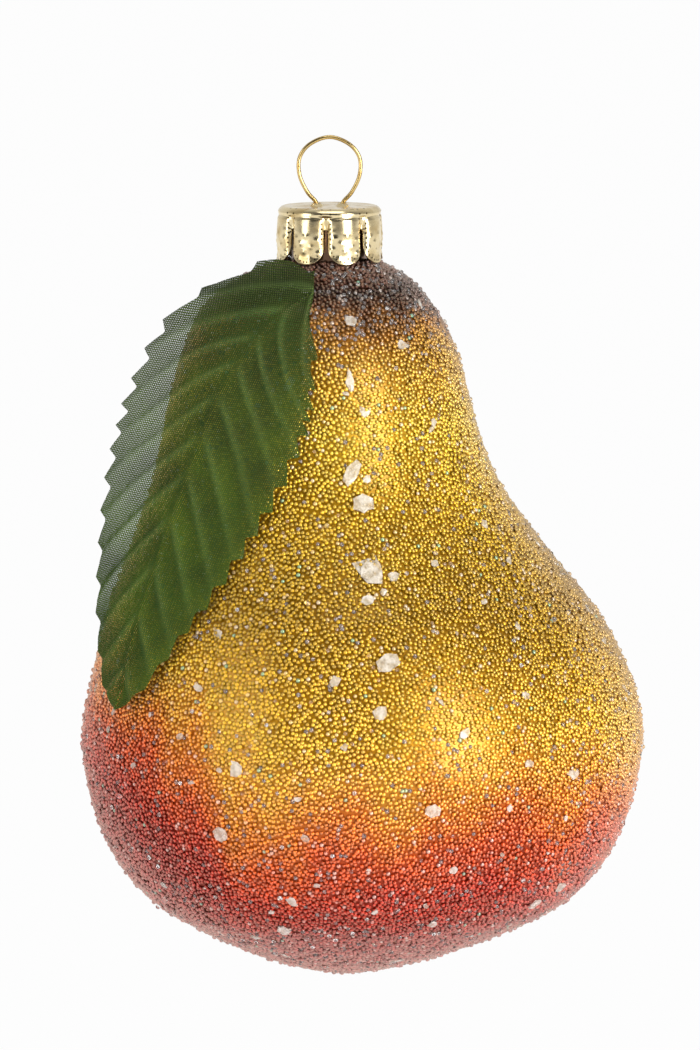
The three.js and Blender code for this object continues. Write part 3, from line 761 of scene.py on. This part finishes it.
def bead_crust(paint, clear_paint):
    """Beads packed at random over the whole pear, in sectors round its axis; some are clear."""
    shape, corners = bead_shape()
    run, turn = bead_sites()
    count = len(run)
    radius = BEAD_RADIUS * (1 + BEAD_SPREAD * rng.uniform(-1, 1, count))
    sink = BEAD_SINK * (1 + SINK_SPREAD * rng.uniform(-1, 1, count))
    sink -= PROUD_RISE * (rng.uniform(0, 1, count) < PROUD_SHARE)
    clear_share = np.interp(np.interp(run, OUTLINE_RUN, OUTLINE[:, 2]), CLEAR_HEIGHTS, CLEAR_SHARES)
    clear = rng.uniform(0, 1, count) < clear_share
    tone = rng.uniform(0, 1, count)
    spin = rng.uniform(0, math.tau, count)
    centre, normal = on_pear(run, turn, -sink[:, None])
    level = np.stack([-np.sin(turn), np.cos(turn), np.zeros(count)], axis=-1)
    across = np.cross(normal, level)
    side = level * np.cos(spin)[:, None] + across * np.sin(spin)[:, None]
    other = np.cross(normal, side)
    squashed = shape * (1, 1, BEAD_SQUASH)
    upright = unit(shape * (1, 1, 1 / BEAD_SQUASH))
    around = np.interp(run, OUTLINE_RUN, OUTLINE[:, 0])
    widest = float(OUTLINE[:, 0].max())

    def sector_of_beads(name, chosen, sector, k):
        mine = np.flatnonzero(chosen & ((turn // sector).astype(int) == k))
        axes = np.stack([side[mine], other[mine], normal[mine]], axis=1)
        offset = radius[mine, None, None] * (squashed @ axes)
        facing = (upright @ axes).reshape(-1, 3)
        faces = corners[None] + np.arange(len(mine))[:, None, None] * len(shape)
        middle = (turn[mine] - (k + 0.5) * sector) * around[mine]
        sideways = middle[:, None] + np.einsum("bvi,bi->bv", offset, level[mine])
        down = run[mine, None] - np.einsum("bvi,bi->bv", offset, across[mine])
        chart = np.stack([0.5 + sideways / (sector * widest * 1.1),
                          0.02 + 0.96 * down / OUTLINE_RUN[-1]], axis=-1)
        mesh = mesh_of_copies(
            name, (centre[mine, None] + offset).reshape(-1, 3), faces.reshape(-1, 3), facing,
            chart.reshape(-1, 2), {"tone": np.repeat(tone[mine], len(shape)),
                                   "outward": np.repeat(normal[mine], len(shape), axis=0),
                                   "rise": np.tile(np.clip(shape[:, 2], 0, 1), len(mine))})
        mesh.materials.append(clear_paint if chosen is clear else paint)
        return add_object(name, mesh)

    return [*(sector_of_beads(f"beads_{k + 1:02d}", ~clear, math.tau / BEAD_SECTORS, k)
              for k in range(BEAD_SECTORS)),
            *(sector_of_beads(f"clear_beads_{k + 1}", clear, math.tau / CLEAR_SECTORS, k)
              for k in range(CLEAR_SECTORS))]


def random_site():
    """A random run and turn, as likely on every part of the pear's surface."""
    weight = np.cumsum(OUTLINE[:, 0])
    run = float(np.interp(rng.uniform(0.02, 1) * weight[-1], weight, OUTLINE_RUN))
    return run, rng.uniform(0, math.tau)


def loose_beads(paint):
    """Whole clear beads that stick up out of the crust, so that they show along its outline."""
    bm = bmesh.new()
    for _ in range(LOOSE_BEADS):
        run, turn = random_site()
        size = BEAD_RADIUS * rng.uniform(0.8, 1.15)
        at = seat_on_pear(run, turn, rng.uniform(0.0, 0.5) * size)
        bmesh.ops.create_uvsphere(bm, u_segments=10, v_segments=6, radius=size, matrix=at)
    return piece("loose_beads", bm, paint)


def flake(bm, at, length, width):
    """A thin flake of broken shell, with an uneven outline and a slightly domed face, laid at a placing."""
    flat = bmesh.ops.create_circle(bm, cap_ends=True, segments=int(rng.integers(6, 10)), radius=0.5)["verts"]
    for v in flat:
        v.co *= rng.uniform(0.6, 1.15)
        v.co.x *= length
        v.co.y *= width
    top = bmesh.ops.extrude_face_region(bm, geom=[flat[0].link_faces[0]])["geom"]
    raised = [g for g in top if isinstance(g, bmesh.types.BMVert)]
    lid = [g for g in top if isinstance(g, bmesh.types.BMFace)]
    bmesh.ops.translate(bm, verts=raised, vec=(0, 0, FLAKE_THICKNESS))
    poked = bmesh.ops.poke(bm, faces=lid)["verts"]
    bmesh.ops.translate(bm, verts=poked, vec=(0, 0, FLAKE_THICKNESS * 0.5))
    for v in raised:
        v.co.x *= 0.9
        v.co.y *= 0.9
        v.co.z *= rng.uniform(0.8, 1.3)
    bmesh.ops.transform(bm, matrix=at, verts=[*flat, *raised, *poked])


def small_flakes(paint):
    bm = bmesh.new()
    for _ in range(FLAKE_COUNT):
        run, turn = random_site()
        length = FLAKE_SIZES[0] + (FLAKE_SIZES[1] - FLAKE_SIZES[0]) * rng.uniform(0, 1) ** 2
        at = seat_on_pear(run, turn, -FLAKE_SINK, rng.uniform(0, math.tau), rng.normal(0, 0.12))
        flake(bm, at, length, length * rng.uniform(0.55, 0.95))
    for right, height, length, width in FLAKE_SPOTS:
        at = seat_on_pear(run_at(height * MM), CAMERA_SIDE + math.radians(right), -FLAKE_SINK,
                          rng.uniform(-0.5, 0.5), rng.normal(0, 0.1))
        flake(bm, at, length * MM, width * MM)
    bmesh.ops.recalc_face_normals(bm, faces=bm.faces)
    return piece("small_flakes", bm, paint, smooth=False)


def large_flake(name, paint):
    """The part's own chip with its outline broken finer and its faces made uneven."""
    bm = bmesh.new()
    bm.from_mesh(NODES[name].data)
    bmesh.ops.remove_doubles(bm, verts=bm.verts, dist=TOUCH)
    bmesh.ops.dissolve_limit(bm, angle_limit=0.02, verts=bm.verts, edges=bm.edges)
    bmesh.ops.triangulate(bm, faces=[f for f in bm.faces if len(f.verts) > 4])
    bmesh.ops.subdivide_edges(bm, edges=bm.edges, cuts=2, use_grid_fill=True)
    middle = sum((v.co for v in bm.verts), Vector()) / len(bm.verts)
    for v in bm.verts:
        stray = Vector(rng.uniform(-1, 1, 3)) * FLAKE_STRAY
        v.co += stray - (v.co - middle) * rng.uniform(-0.02, 0.1)
    bmesh.ops.recalc_face_normals(bm, faces=bm.faces)
    return piece(name.replace("chip", "flake"), bm, paint, smooth=False)


# Hanger and cap
def hanger_wire(paint):
    """One length of round wire along the part's route: left leg, loop, right leg."""
    right = [(x * LOOP_HALF, WIRE_RADIUS - drop * (WIRE_RADIUS - DISC_TOP)) for x, drop in LOOP_SHAPE]
    right += [(x * MM, DISC_TOP + z * MM) for x, z in LEG_ROUTE]
    route = [(-x, z) for x, z in reversed(right)] + [(0, WIRE_RADIUS)] + right
    fine, _ = evenly(curve_through(route, np.linspace(0, 1, 600)), 220)
    line = bpy.data.curves.new("hanger_line", "CURVE")
    line.dimensions = "3D"
    line.bevel_depth = WIRE_RADIUS
    line.bevel_resolution = 4
    line.use_fill_caps = True
    spline = line.splines.new("POLY")
    spline.points.add(len(fine) - 1)
    for point, (x, z) in zip(spline.points, fine):
        point.co = (x, 0, z, 1)
    drawn = add_object("hanger_line", line)
    bpy.context.view_layer.update()
    bm = bmesh.new()
    bm.from_mesh(drawn.evaluated_get(bpy.context.evaluated_depsgraph_get()).to_mesh())
    bpy.data.objects.remove(drawn)
    return piece("bent_wire", bm, paint)


def bell(offset, width):
    """A bump: 1 where the offset is nothing, and next to nothing from two widths on."""
    return np.exp(-(offset / width) ** 2)


def smooth_step(value, start, end):
    t = np.clip((value - start) / (end - start), 0, 1)
    return t * t * (3 - 2 * t)


def cap_line():
    """The cap's section from the middle of its disc out, round the rim and down to the tabs' ends."""
    line = [(r, 0.0) for r in np.linspace(0, CAP_RADIUS - CAP_ROUND, 30)]
    for a in np.linspace(0, math.pi / 2, 7)[1:]:
        line.append((CAP_RADIUS - CAP_ROUND + CAP_ROUND * math.sin(a), CAP_ROUND * (math.cos(a) - 1)))
    band = np.linspace(-CAP_ROUND, -BAND_HEIGHT, 16)[1:]
    tab = np.linspace(-BAND_HEIGHT, -CAP_HEIGHT, 44)[1:]
    return line + [(CAP_RADIUS, z) for z in (*band, *tab)]


def shape_cap_point(v):
    """Moves a point of the plain turned cup to where stamping puts it. Returns its tab measures."""
    radius, height = math.hypot(v.co.x, v.co.y), v.co.z
    if radius < CAP_RADIUS - CAP_ROUND + TOUCH:
        return NO_EDGE, 0.0
    turn = math.atan2(v.co.y, v.co.x)
    off = (turn - TAB_MIDDLE + TAB_PITCH / 2) % TAB_PITCH - TAB_PITCH / 2
    across = off * CAP_RADIUS
    half = (TAB_PITCH / 2 - GAP_TURN) * CAP_RADIUS
    gap = GAP_TURN * CAP_RADIUS
    from_gap = (TAB_PITCH / 2 - abs(off)) * CAP_RADIUS
    share = min(1.0, abs(across) / half)
    if height < -BAND_HEIGHT - TOUCH:
        foot = -CAP_HEIGHT + half * (1 - math.sqrt(max(0.0, 1 - share**2)))
        along = (-BAND_HEIGHT - height) / (CAP_HEIGHT - BAND_HEIGHT)
        height = -BAND_HEIGHT + along * (foot + BAND_HEIGHT)
    elif height < -BAND_HEIGHT + TOUCH and from_gap <= gap + TOUCH:
        height -= gap - math.sqrt(max(0.0, gap**2 - from_gap**2))
    out = radius + RIM_PROUD * bell(height + CAP_ROUND * 0.75, RIM_WIDTH)
    out -= GROOVE_DEPTH * bell(height + CAP_ROUND + GROOVE_DROP, GROOVE_WIDTH)
    out += TAB_STEP * smooth_step(-height, CAP_ROUND, CAP_ROUND + STEP_RUN)
    out += TAB_BULGE * (1 - share**2) * bell(height + BULGE_MIDDLE, BULGE_REACH)
    out += TAB_FLARE * smooth_step(-height, CAP_HEIGHT - FLARE_RUN, CAP_HEIGHT)
    sunk = smooth_step(-height, 0.3 * BAND_HEIGHT, 0.9 * BAND_HEIGHT)
    out -= PUCKER_DEPTH * sunk * bell(from_gap, PUCKER_WIDTH)
    under_rim = smooth_step(-height, CAP_ROUND, CAP_ROUND + FLAT_RUN)
    out -= VALLEY_DEPTH * under_rim * (1 - smooth_step(-height, BAND_HEIGHT, CAP_HEIGHT)) * share**3
    out -= FLAT_TABS * under_rim * share**2
    ray = math.atan2(from_gap, height + BAND_HEIGHT)
    near = bell(math.hypot(from_gap, height + BAND_HEIGHT), PLEAT_REACH)
    out += PLEAT_DEPTH * near * math.cos(PLEATS * ray)
    for x, z in TAB_DOTS:
        out += DOT_PROUD * bell(math.hypot(across - x * MM, height - z * MM), DOT_REACH)
    v.co = (out * math.cos(turn), out * math.sin(turn), height)
    bend = -CAP_HEIGHT + half
    if height > bend:
        return (half - abs(across)) / MM, (bend - height) / MM
    return (half - math.hypot(across, height - bend)) / MM, half / MM * math.atan2(bend - height, abs(across))


def stamped_cap(paint):
    """A crown cap: disc with two lipped slots, rolled rim, puckered band and eight embossed tabs."""
    start = TAB_MIDDLE + TAB_PITCH / 2 + GAP_TURN
    bm = turned([(r * math.cos(start), r * math.sin(start), z) for r, z in cap_line()],
                TAB_COUNT * TAB_COLUMNS)

    def in_gap(face):
        middle = face.calc_center_median()
        off = (math.atan2(middle.y, middle.x) - TAB_MIDDLE) % TAB_PITCH - TAB_PITCH / 2
        return middle.z < -BAND_HEIGHT and abs(off) < GAP_TURN

    bmesh.ops.delete(bm, geom=[f for f in bm.faces if in_gap(f)], context="FACES")
    for sign in (-1, 1):
        for co, no in (((sign * SLOT_SIDE[0], 0, 0), (1, 0, 0)), ((sign * SLOT_SIDE[1], 0, 0), (1, 0, 0)),
                       ((0, -SLOT_HALF, 0), (0, 1, 0)), ((0, SLOT_HALF, 0), (0, 1, 0))):
            disc = [f for f in bm.faces if f.calc_center_median().z > -TOUCH]
            bmesh.ops.bisect_plane(bm, geom=[*{v for f in disc for v in f.verts},
                                             *{e for f in disc for e in f.edges}, *disc],
                                   dist=TOUCH, plane_co=co, plane_no=no)

    def in_slot(face):
        middle = face.calc_center_median()
        return middle.z > -TOUCH and SLOT_SIDE[0] < abs(middle.x) < SLOT_SIDE[1] and abs(middle.y) < SLOT_HALF

    bmesh.ops.delete(bm, geom=[f for f in bm.faces if in_slot(f)], context="FACES")
    bmesh.ops.remove_doubles(bm, verts=bm.verts, dist=2 * TOUCH)
    edge = bm.verts.layers.float.new("edge")
    along = bm.verts.layers.float.new("along")
    for v in bm.verts:
        if v.co.z > -TOUCH:
            beside = max(abs(abs(v.co.x) - sum(SLOT_SIDE) / 2) - (SLOT_SIDE[1] - SLOT_SIDE[0]) / 2, 0)
            beyond = max(abs(v.co.y) - SLOT_HALF, 0)
            v.co.z += LIP_RISE * bell(math.hypot(beside, beyond), LIP_WIDTH)
        v[edge], v[along] = shape_cap_point(v)
    bmesh.ops.translate(bm, verts=bm.verts, vec=(0, 0, DISC_TOP))
    bmesh.ops.recalc_face_normals(bm, faces=bm.faces)
    top = min(bm.faces, key=lambda f: f.calc_center_median().xy.length)
    if top.normal.z < 0:
        bmesh.ops.reverse_faces(bm, faces=bm.faces)
    cap = piece("crown_cap", bm, paint)
    wall = cap.modifiers.new("wall", "SOLIDIFY")
    wall.thickness = CAP_WALL
    wall.offset = -1
    return cap


# Leaf
def seat_line():
    """Radius and height of the line at the leaf's lift over the outline, in the outline's own plane."""
    length = np.hypot(SLOPES[:, 0], SLOPES[:, 2])
    return (OUTLINE[:, 0] - SLOPES[:, 2] / length * LEAF_LIFT,
            OUTLINE[:, 2] + SLOPES[:, 0] / length * LEAF_LIFT)


SEAT_RADIUS, SEAT_HEIGHT = seat_line()


def leaf_surface(across, height):
    """Points of the sheet: each level is an arc that touches the pear and bends less than it does."""
    share = (LEAF_TOP - height) / LEAF_DROP
    turn = np.radians(LEAF_TURNS[0] + (LEAF_TURNS[1] - LEAF_TURNS[0]) * share)
    radius = np.interp(-height, -SEAT_HEIGHT, SEAT_RADIUS)
    lean = np.interp(-height, -OUTLINE[:, 2], OUTLINE[:, 1])
    far = turn + across / LEAF_BEND
    x = lean - np.sin(turn) * (radius - LEAF_BEND) - np.sin(far) * LEAF_BEND
    y = -np.cos(turn) * (radius - LEAF_BEND) - np.cos(far) * LEAF_BEND
    return np.stack([x, y, height], axis=-1)


def leaf_point(share, across, lift):
    """Points of the leaf at shares of its length and distances across from the midrib, with their
    places on the flat cloth."""
    rib = [(sway * MIDRIB_SWAY, LEAF_TOP - drop * LEAF_DROP) for sway, drop in MIDRIB]
    inside = np.clip(share, 0.001, 0.999)
    way = (curve_through(rib, inside + 1e-3) - curve_through(rib, inside - 1e-3)) / 2e-3
    at = curve_through(rib, inside) + way * (share - inside)[:, None]
    way = unit(way)
    x, z = at[:, 0] - way[:, 1] * across, at[:, 1] + way[:, 0] * across
    probe = 0.2 * MM
    sideways = leaf_surface(x + probe, z) - leaf_surface(x - probe, z)
    down = leaf_surface(x, z - probe) - leaf_surface(x, z + probe)
    normal = unit(np.cross(sideways, down))
    tucked = lift - LEAF_TUCK * smooth_step(z, *TUCK_HEIGHTS)
    return leaf_surface(x, z) + normal * tucked[:, None], np.stack([x, z], axis=-1)


def pressed_leaf(paint):
    """A toothed, ribbed sheet with its weave's chart, from a flat grid."""
    bm = bmesh.new()
    bmesh.ops.create_grid(bm, x_segments=2 * LEAF_COLUMNS, y_segments=TEETH * TOOTH_ROWS, size=0.5)
    flat = np.array([v.co for v in bm.verts])
    side, start = 2 * flat[:, 0], 0.5 - flat[:, 1]
    reach = np.abs(side)
    share = start + TOOTH_SWEEP * reach * (1 - start) * np.minimum(1, start / SWEEP_SETTLE)
    share = np.minimum(share, 1)
    bulge = share ** LEAF_TAPERS[0] * (1 - share) ** LEAF_TAPERS[1]
    widest = LEAF_TAPERS[0] / sum(LEAF_TAPERS)
    fullest = widest ** LEAF_TAPERS[0] * (1 - widest) ** LEAF_TAPERS[1]
    phase = (start * TEETH) % 1
    saw = np.where(phase < TOOTH_BACK, 1 - phase / TOOTH_BACK, (phase - TOOTH_BACK) / (1 - TOOTH_BACK))
    half = LEAF_HALF_WIDTH * bulge / fullest
    half -= TOOTH_DEPTH * np.sqrt(bulge / fullest) * (1 - saw) * reach**2
    half = np.maximum(half, np.maximum(LEAF_BASE * (1 - start), 0.15 * MM))
    half += LEAF_SHOULDER * bell(start - SHOULDER_PLACE, SHOULDER_PLACE) * np.clip(3 * side, 0, 1)
    oblique = -BASE_SHEAR * side * np.maximum(0, 1 - start / SHEAR_END)
    vein_place = share - half * reach * VEIN_SLANT / LEAF_LENGTH
    wave = np.cos(math.tau * vein_place * VEINS)
    ridge = np.clip(wave, 0, 1) ** 2 * np.clip(reach / 0.1, 0, 1) * (1 - 0.7 * reach)
    relief = VEIN_RELIEF * (ridge + 0.35 * wave * np.clip(reach / 0.2, 0, 1) * (1 - 0.7 * reach))
    relief += VEIN_RELIEF * bell(reach, RIB_WIDTH)
    droop = LEAF_DROOP * np.sin(start * 9 + side * 2) * reach
    places, flat_places = leaf_point(share + oblique, side * half, relief + droop)
    # The vein value marks the raised ridges that get the painted highlight
    vein = bm.verts.layers.float.new("vein")
    for v, place, light in zip(bm.verts, places, ridge):
        v.co = place
        v[vein] = float(light)
    chart = bm.loops.layers.uv.new("weave")
    for face in bm.faces:
        for loop in face.loops:
            loop[chart].uv = flat_places[loop.vert.index] * CHART_SCALE
    bmesh.ops.recalc_face_normals(bm, faces=bm.faces)
    leaf = piece("woven_leaf", bm, paint)
    sheet = leaf.modifiers.new("sheet", "SOLIDIFY")
    sheet.thickness = LEAF_SHEET
    sheet.offset = 0
    return leaf


def glue_dab(paint):
    """A squeezed-out dab with an uneven edge under the leaf's base."""
    run = run_at(GLUE_HEIGHT)
    at = seat_on_pear(run, CAMERA_SIDE - math.radians(GLUE_TURN), GLUE_SIZE[2])
    bm = bmesh.new()
    bmesh.ops.create_uvsphere(bm, u_segments=36, v_segments=16, radius=1.0)
    for v in bm.verts:
        turn = math.atan2(v.co.y, v.co.x)
        edge = 1 + 0.09 * math.sin(3 * turn + 1) + 0.05 * math.sin(7 * turn)
        flat = 1 - abs(v.co.z) ** 3 * 0.25
        v.co = Vector((v.co.x * edge, v.co.y * edge, v.co.z * flat)) * Vector(GLUE_SIZE)
    bmesh.ops.transform(bm, matrix=at, verts=bm.verts)
    return piece("glue_dab", bm, paint)


def dress(made, body, slot, *nodes):
    """Lets a piece ride on a body and stand for CAD nodes, which it hides. The slot is not used."""
    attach(made, body)
    if nodes:
        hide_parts(*nodes)


photo_camera()
studio_world()
pale_floor()
lamp("key_right", 41, 10, 1.0, 0.36, 0.72, 9)
lamp("fill_left", -54, 12, 1.0, 0.4, 0.7, 2.6)
lamp("top", 10, 70, 1.0, 0.6, 0.6, 2.5)

SHELL_FINISH = shell_finish()
CLEAR_FINISH = clear_glass_finish()
dress(lacquer_skin(lacquer_finish()), "pear", "bead_crust", "bead_crust")
for beads in bead_crust(bead_finish(), CLEAR_FINISH):
    dress(beads, "pear", "bead_crust")
dress(loose_beads(CLEAR_FINISH), "pear", "bead_crust")
dress(small_flakes(SHELL_FINISH), "pear", "shell_chip")
for name in sorted(NODES):
    if name.startswith("shell_chip"):
        dress(large_flake(name, SHELL_FINISH), "pear", "shell_chip", name)
NODES["glass_pear"].data.materials.clear()
NODES["glass_pear"].data.materials.append(silvered_finish())
dress(glue_dab(glue_finish()), "pear", "clear_glue", "leaf_glue")

WIRE_FINISH, _, _ = plated_finish("wire_plating", srgb(212, 184, 122), srgb(172, 138, 76), 700.0)
dress(hanger_wire(WIRE_FINISH), "hanger", "spring_wire", "hanger_wire")
dress(stamped_cap(cap_finish()), "cap_body", "stamped_cap", "cap")

leaf = pressed_leaf(leaf_finish())
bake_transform(leaf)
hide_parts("leaf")

bpy.context.scene.view_settings.view_transform = "Standard"
